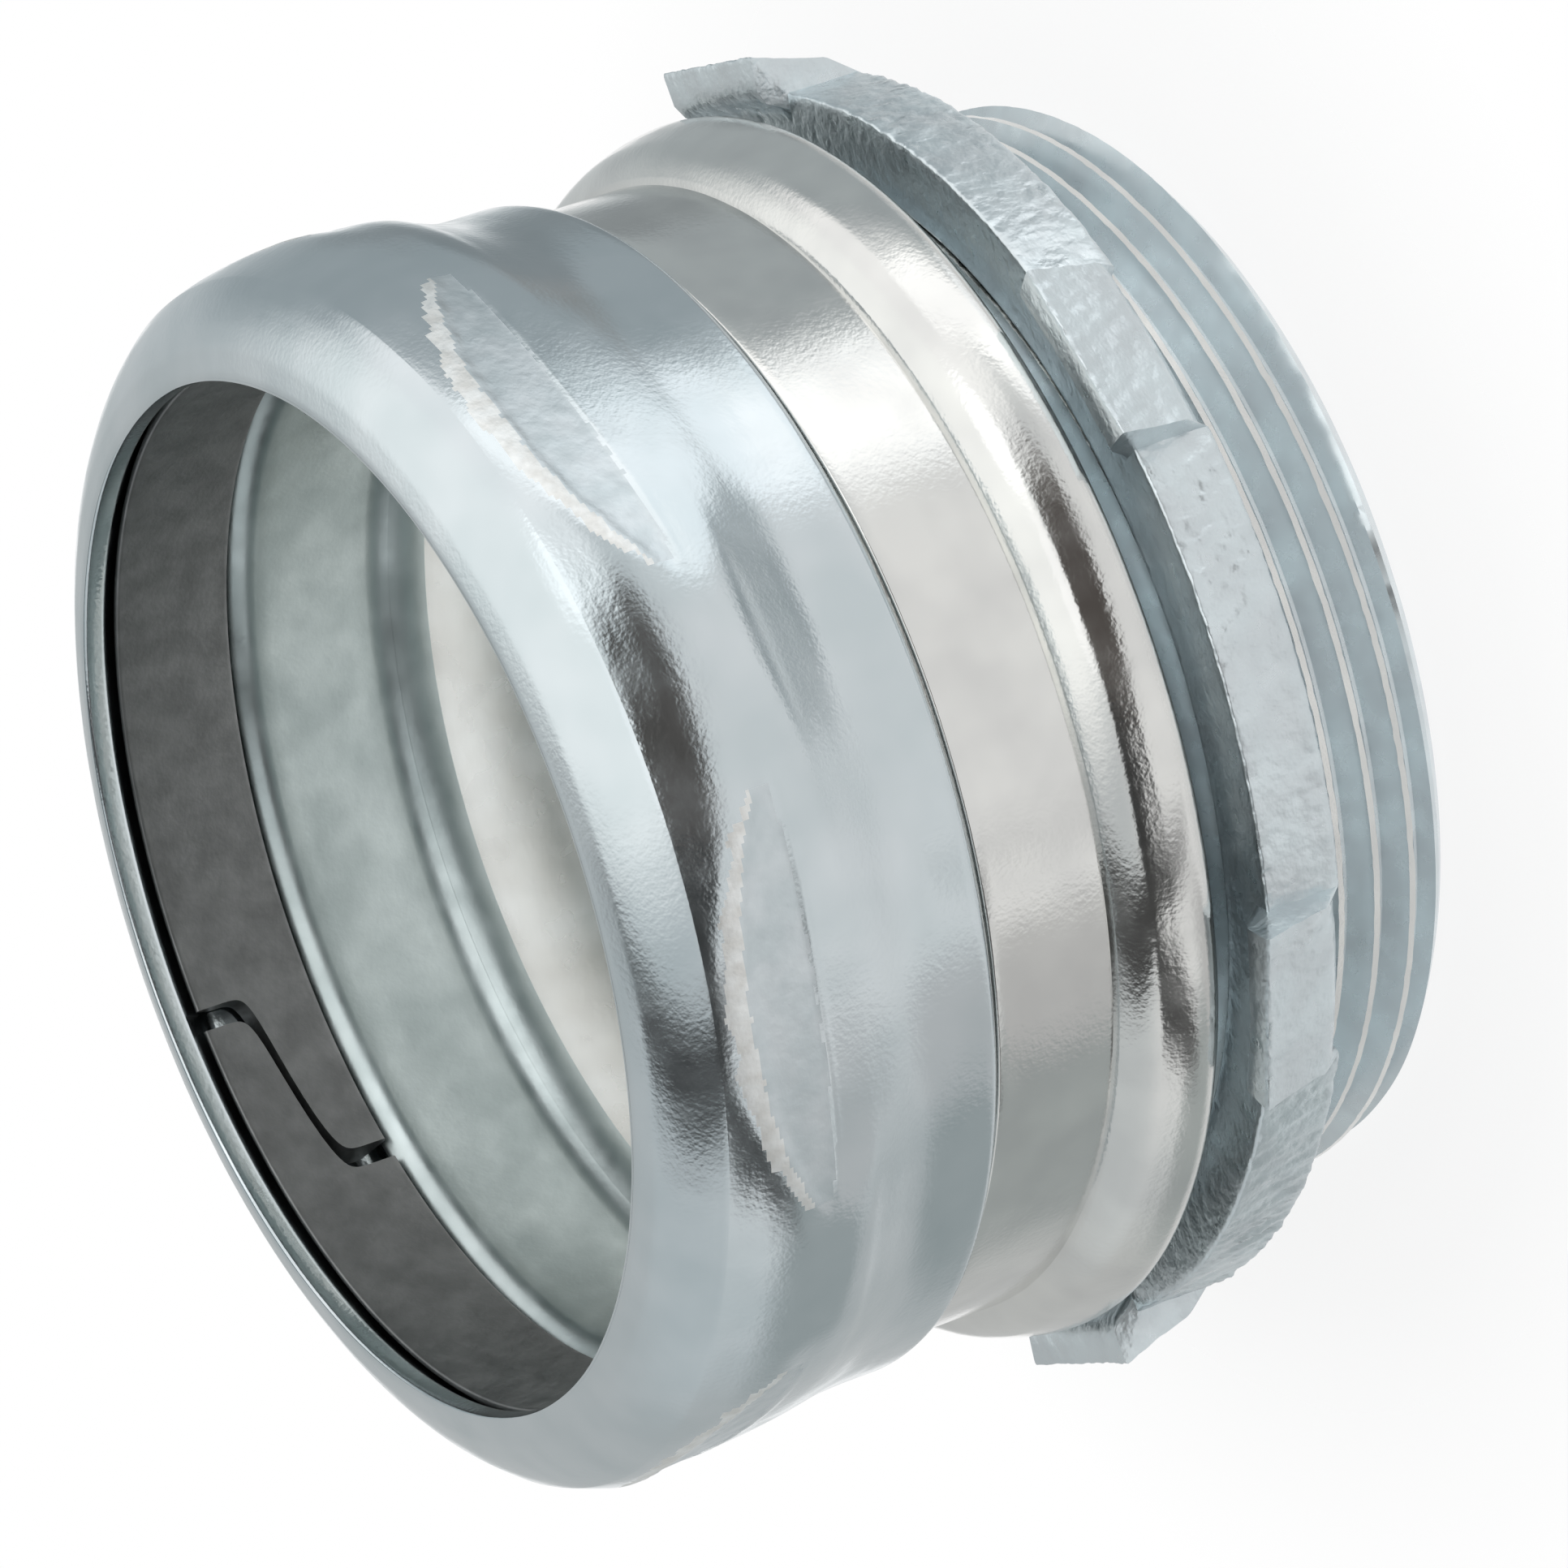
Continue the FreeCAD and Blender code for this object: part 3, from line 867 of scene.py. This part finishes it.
def matt_zinc_on_a_leaf(colours):
    """Face of a leaf, dulled by the press tool: an even, matt grey with fine wrinkles."""
    return plate(
        "matt_zinc_on_a_leaf", colours.blue_zinc, colours.blue_zinc_dull,
        gloss=(0.3, 0.42), cloud=2.0, speck=(0.3, 0.012), dent=(1.0, 0.03))


def blue_zinc_on_pressed_steel(colours):
    """Pressed steel under blue-passivated zinc: glossy, with a cool tint and fine grain."""
    return plate(
        "blue_zinc_on_pressed_steel", colours.blue_zinc, colours.blue_zinc_dull,
        gloss=(0.13, 0.22), cloud=6.0, speck=(0.3, 0.012), dent=(3.5, 0.008))


def grey_zinc_on_tumbled_ring(colours):
    """Tumbled spring steel under thin grey zinc: dark and dull."""
    return plate(
        "grey_zinc_on_tumbled_ring", colours.grey_zinc, colours.grey_zinc_dull,
        gloss=(0.42, 0.55), cloud=2.0, speck=(0.3, 0.012), dent=(1.5, 0.01))


def blue_zinc_on_stamped_steel(colours):
    """Thick stamped steel under blue zinc: satin, with shallow dents all over."""
    return plate(
        "blue_zinc_on_stamped_steel", colours.thread_zinc, colours.blue_zinc,
        gloss=(0.26, 0.42), cloud=3.0, speck=(0.4, 0.05), dent=(1.2, 0.12))


# Stage

# Position of the camera in millimetres, and the direction of its right and up sides
CAMERA_PLACE = (98.213, -667.488, 353.253)
CAMERA_RIGHT = (-0.25690, -0.45886, -0.85056)
CAMERA_UP = (0.95729, 0.0, -0.28914)
CAMERA_LENS = 325.89

# Soft patches of the studio around the connector, in the directions that the camera, turned
# to face back, would see them in. A later patch lies over the earlier ones. Each has its
# degrees to the camera's right and up, its half width and half height in degrees, how far it
# is turned, how soft its edge is, its brightness and its tint
STUDIO = [
    ((62, -5), (48, 62), 0, 0.7, 0.92, "#fafafa"),
    ((0, 125), (60, 32), 0, 0.6, 0.5, "#e8f2f6"),
    ((180, -30), (70, 32), 0, 0.8, 0.6, "#f6f8f8"),
    ((172, 34), (18, 14), 0, 0.7, 0.35, "#e8f2f6"),
    ((102, 31), (14, 16), 0, 0.8, 0.32, "#dcecf0"),
    ((112, -49), (30, 16), 0, 0.8, 0.46, "#eef6f6"),
    ((80, -31), (20, 10), 0, 0.8, 0.58, "#ffffff"),
    ((-55, 12), (52, 34), 0, 0.5, 1.2, "#fcfdfc"),
    ((-50, 52), (36, 20), 0, 0.6, 1.12, "#ffffff"),
    ((76, 68), (22, 13), 0, 0.7, 1.3, "#fafdff"),
    ((140, 47), (18, 13), 0, 0.7, 0.36, "#f4f4f2"),
    ((12, 74), (22, 12), -10, 0.7, 1.4, "#ffffff"),
    ((-24, 32), (20, 10), 30, 0.6, 1.6, "#ffffff"),
    ((-8, 8), (13, 15), 0, 0.6, 1.3, "#ffffff"),
    ((15, 12), (11, 30), 4, 0.4, 0.09, "#fff2ea"),
    ((17, -24), (12, 20), 0, 0.5, 0.05, "#ffffff"),
    ((40, -52), (26, 7), -24, 0.7, 0.08, "#ffffff"),
    ((-22, -49), (56, 9), 0, 0.6, 0.06, "#ffffff"),
    ((0, 180), (14, 14), 0, 0.4, 1.05, "#ffffff"),
]


def camera_matrix():
    """The camera's axes: right, up and back."""
    right = Vector(CAMERA_RIGHT).normalized()
    back = right.cross(Vector(CAMERA_UP)).normalized()
    up = back.cross(right)
    return Matrix((right, up, back)).transposed()


def make_camera():
    camera = bpy.data.objects.new("camera", bpy.data.cameras.new("camera"))
    camera.data.lens = CAMERA_LENS
    camera.data.sensor_width = 36
    camera.data.clip_start = 0.01
    at = Matrix.Translation(Vector(CAMERA_PLACE) * MM)
    camera.matrix_world = at @ camera_matrix().to_4x4()
    bpy.context.scene.collection.objects.link(camera)
    bpy.context.scene.camera = camera


# The studio's brightness and tint between the patches
STUDIO_LEVEL = 0.7
STUDIO_TINT = "#f2f7f9"
# Depth of the patches along their own direction, so that each lies on one side only
PATCH_DEPTH = 1.6


def lit(level, tint):
    """A tint at a brightness, as a colour for a socket."""
    return [level * channel for channel in linear(tint)] + [1]


def reach_on_sphere(degrees):
    """How far a patch's edge is from its middle, on a sphere of radius 1."""
    return 2 * math.sin(math.radians(degrees) / 2)


def patch_axes(place, turn):
    """The directions across, along and towards the middle of a patch."""
    right, up = (math.radians(part) for part in place)
    axes = camera_matrix()
    middle = axes @ Vector((
        math.sin(right) * math.cos(up), math.sin(up), math.cos(right) * math.cos(up)))
    across = axes @ Vector((math.cos(right), 0, -math.sin(right)))
    across = Matrix.Rotation(math.radians(turn), 3, middle) @ across
    return across, middle.cross(across), middle


def patched(tree, look, below, patch):
    """The studio's colour with one more patch over what lies below."""
    place, (width, height), turn, soft, level, tint = patch
    axes = patch_axes(place, turn)
    local = add(tree, "ShaderNodeMapping", {
        "Vector": look, "Location": axes[2],
        "Rotation": Matrix(axes).transposed().to_euler(),
        "Scale": (reach_on_sphere(width), reach_on_sphere(height), PATCH_DEPTH)},
        vector_type="TEXTURE").outputs["Vector"]
    away = add(tree, "ShaderNodeVectorMath", {0: local}, operation="LENGTH").outputs["Value"]
    share = add(tree, "ShaderNodeMapRange", {
        "Value": away, "From Min": 1 + soft / 2, "From Max": 1 - soft / 2},
        interpolation_type="SMOOTHERSTEP").outputs["Result"]
    mix = add(tree, "ShaderNodeMix", {0: share, 6: below}, data_type="RGBA")
    mix.inputs[7].default_value = lit(level, tint)
    return mix.outputs[2]


def make_studio():
    """A world of soft bright and dark patches that the metal mirrors; the camera sees white."""
    world = bpy.data.worlds.new("studio")
    bpy.context.scene.world = world
    world.use_nodes = True
    tree = world.node_tree
    tree.nodes.clear()
    look = add(tree, "ShaderNodeTexCoord").outputs["Generated"]
    shade = lit(STUDIO_LEVEL, STUDIO_TINT)
    for patch in STUDIO:
        shade = patched(tree, look, shade, patch)
    seen = add(tree, "ShaderNodeLightPath").outputs["Is Camera Ray"]
    backdrop = add(tree, "ShaderNodeMix", {0: seen, 6: shade}, data_type="RGBA")
    backdrop.inputs[7].default_value = (1, 1, 1, 1)
    light = add(tree, "ShaderNodeBackground", {"Color": backdrop.outputs[2], "Strength": 1.0})
    add(tree, "ShaderNodeOutputWorld", {"Surface": light.outputs["Background"]})


# The floor, in metres from the axis: its edge, and where it fades out
FLOOR_RADIUS = 0.15
FLOOR_FADE = (0.038, 0.058)
# How much of the floor's look is a plain white glow: to the camera, in what the bore mirrors,
# and in what the outside mirrors. The rest is paint, which keeps the shadow. Inside BORE_EDGE
# the floor glows full white in what the metal mirrors: painted light for the bore's inside
CAMERA_SHARE = 0.85
BORE_SHARE = 1.0
OUTSIDE_SHARE = 0.45
BORE_EDGE = (0.027, 0.034)


def floor_paint(colours):
    """Pale paint that looks near white to the camera and in the metal, and fades outwards.

    Under the bore it glows full white in what the metal mirrors: painted light for the bore.
    """
    material = bpy.data.materials.new("pale_floor")
    material.use_nodes = True
    tree = material.node_tree
    tree.nodes.clear()
    spot = add(tree, "ShaderNodeTexCoord").outputs["Object"]
    away = add(tree, "ShaderNodeVectorMath", {0: spot}, operation="LENGTH").outputs["Value"]
    paint = add(tree, "ShaderNodeBsdfDiffuse", {"Color": list(colours.floor) + [1]})
    white = add(tree, "ShaderNodeEmission", {"Color": (1, 1, 1, 1), "Strength": 1.0})
    ray = add(tree, "ShaderNodeLightPath").outputs
    mirrored = add(tree, "ShaderNodeMath", {
        0: ray["Is Glossy Ray"], 1: ray["Is Transmission Ray"]}, operation="MAXIMUM")
    # The floor under the bore glows full white in what the metal mirrors: painted light for the
    # bore
    under = ranged(tree, away, *BORE_EDGE, BORE_SHARE, OUTSIDE_SHARE)
    mirror_share = add(tree, "ShaderNodeMath", {
        0: mirrored.outputs[0], 1: under}, operation="MULTIPLY")
    camera_share = ranged(tree, ray["Is Camera Ray"], 0, 1, 0, CAMERA_SHARE)
    share = add(tree, "ShaderNodeMath", {
        0: camera_share, 1: mirror_share.outputs[0]}, operation="MAXIMUM")
    shown = add(tree, "ShaderNodeMixShader", {
        0: share.outputs[0], 1: paint.outputs["BSDF"], 2: white.outputs["Emission"]})
    clear = add(tree, "ShaderNodeBsdfTransparent")
    fade = ranged(tree, away, *FLOOR_FADE, 1, 0)
    faded = add(tree, "ShaderNodeMixShader", {
        0: fade, 1: clear.outputs["BSDF"], 2: shown.outputs["Shader"]})
    add(tree, "ShaderNodeOutputMaterial", {"Surface": faded.outputs["Shader"]})
    return material


def make_floor(colours):
    bm = bmesh.new()
    bmesh.ops.create_circle(bm, cap_ends=True, segments=96, radius=FLOOR_RADIUS)
    mesh = bpy.data.meshes.new("floor")
    bm.to_mesh(mesh)
    bm.free()
    mesh.materials.append(floor_paint(colours))
    floor = bpy.data.objects.new("floor", mesh)
    bpy.context.scene.collection.objects.link(floor)


# Operators and panel


class CONNECTOR_OT_body(bpy.types.Operator):
    """Build the body with its bead, neck, bore and both threads"""

    bl_idname = "connector.body"
    bl_label = "Body"

    def execute(self, context):
        settings = context.scene.connector
        finishes = [finish(settings.finishes) for finish in (
            bright_zinc_on_drawn_tube, blue_zinc_on_rolled_thread, painted_shade_in_the_socket,
            painted_light_in_the_throat)]
        build_body(in_millimetres(settings.body), finishes)
        return {"FINISHED"}


class CONNECTOR_OT_nut(bpy.types.Operator):
    """Build the gland nut with its pressed flats"""

    bl_idname = "connector.nut"
    bl_label = "Gland Nut"

    def execute(self, context):
        settings = context.scene.connector
        finishes = [finish(settings.finishes) for finish in (
            blue_zinc_on_pressed_steel, painted_highlight_beside_a_leaf, matt_zinc_on_a_leaf)]
        build_nut(in_millimetres(settings.nut), finishes)
        return {"FINISHED"}


class CONNECTOR_OT_ring(bpy.types.Operator):
    """Build the split compression ring"""

    bl_idname = "connector.ring"
    bl_label = "Compression Ring"

    def execute(self, context):
        settings = context.scene.connector
        finish = grey_zinc_on_tumbled_ring(settings.finishes)
        build_ring(in_millimetres(settings.ring), finish)
        return {"FINISHED"}


class CONNECTOR_OT_locknut(bpy.types.Operator):
    """Build the locknut with its bent lugs"""

    bl_idname = "connector.locknut"
    bl_label = "Locknut"

    def execute(self, context):
        settings = context.scene.connector
        finish = blue_zinc_on_stamped_steel(settings.finishes)
        build_locknut(in_millimetres(settings.locknut), finish)
        return {"FINISHED"}


class CONNECTOR_OT_stage(bpy.types.Operator):
    """Set up the floor, the studio light and the camera"""

    bl_idname = "connector.stage"
    bl_label = "Stage"

    def execute(self, context):
        context.scene.view_settings.view_transform = "Standard"
        make_studio()
        make_floor(context.scene.connector.finishes)
        make_camera()
        return {"FINISHED"}


class ConnectorSettings(bpy.types.PropertyGroup):
    body: bpy.props.PointerProperty(type=BodySizes, name="Body", description="Sizes of the body")
    nut: bpy.props.PointerProperty(type=NutSizes, name="Nut", description="Sizes of the nut")
    ring: bpy.props.PointerProperty(type=RingSizes, name="Ring", description="Sizes of the ring")
    locknut: bpy.props.PointerProperty(
        type=LocknutSizes, name="Locknut", description="Sizes of the locknut")
    finishes: bpy.props.PointerProperty(
        type=Finishes, name="Finishes", description="Colours of the plating and the floor")


class CONNECTOR_PT_panel(bpy.types.Panel):
    """Lists the connector's pieces"""

    bl_idname = "CONNECTOR_PT_panel"
    bl_label = "Compression Connector"
    bl_space_type = "VIEW_3D"
    bl_region_type = "UI"
    bl_category = "Connector"

    def draw(self, context):
        for operator in OPERATORS:
            self.layout.operator(operator.bl_idname)


GROUPS = (BodySizes, NutSizes, RingSizes, LocknutSizes, Finishes, ConnectorSettings)
OPERATORS = (CONNECTOR_OT_body, CONNECTOR_OT_nut, CONNECTOR_OT_ring, CONNECTOR_OT_locknut,
             CONNECTOR_OT_stage)
CLASSES = GROUPS + OPERATORS + (CONNECTOR_PT_panel,)


def register():
    for one in CLASSES:
        bpy.utils.register_class(one)
    bpy.types.Scene.connector = bpy.props.PointerProperty(type=ConnectorSettings)


def unregister():
    del bpy.types.Scene.connector
    for one in reversed(CLASSES):
        bpy.utils.unregister_class(one)


def main():
    register()
    bpy.ops.connector.body()
    bpy.ops.connector.nut()
    bpy.ops.connector.ring()
    bpy.ops.connector.locknut()
    bpy.ops.connector.stage()


if __name__ == "__main__":
    main()
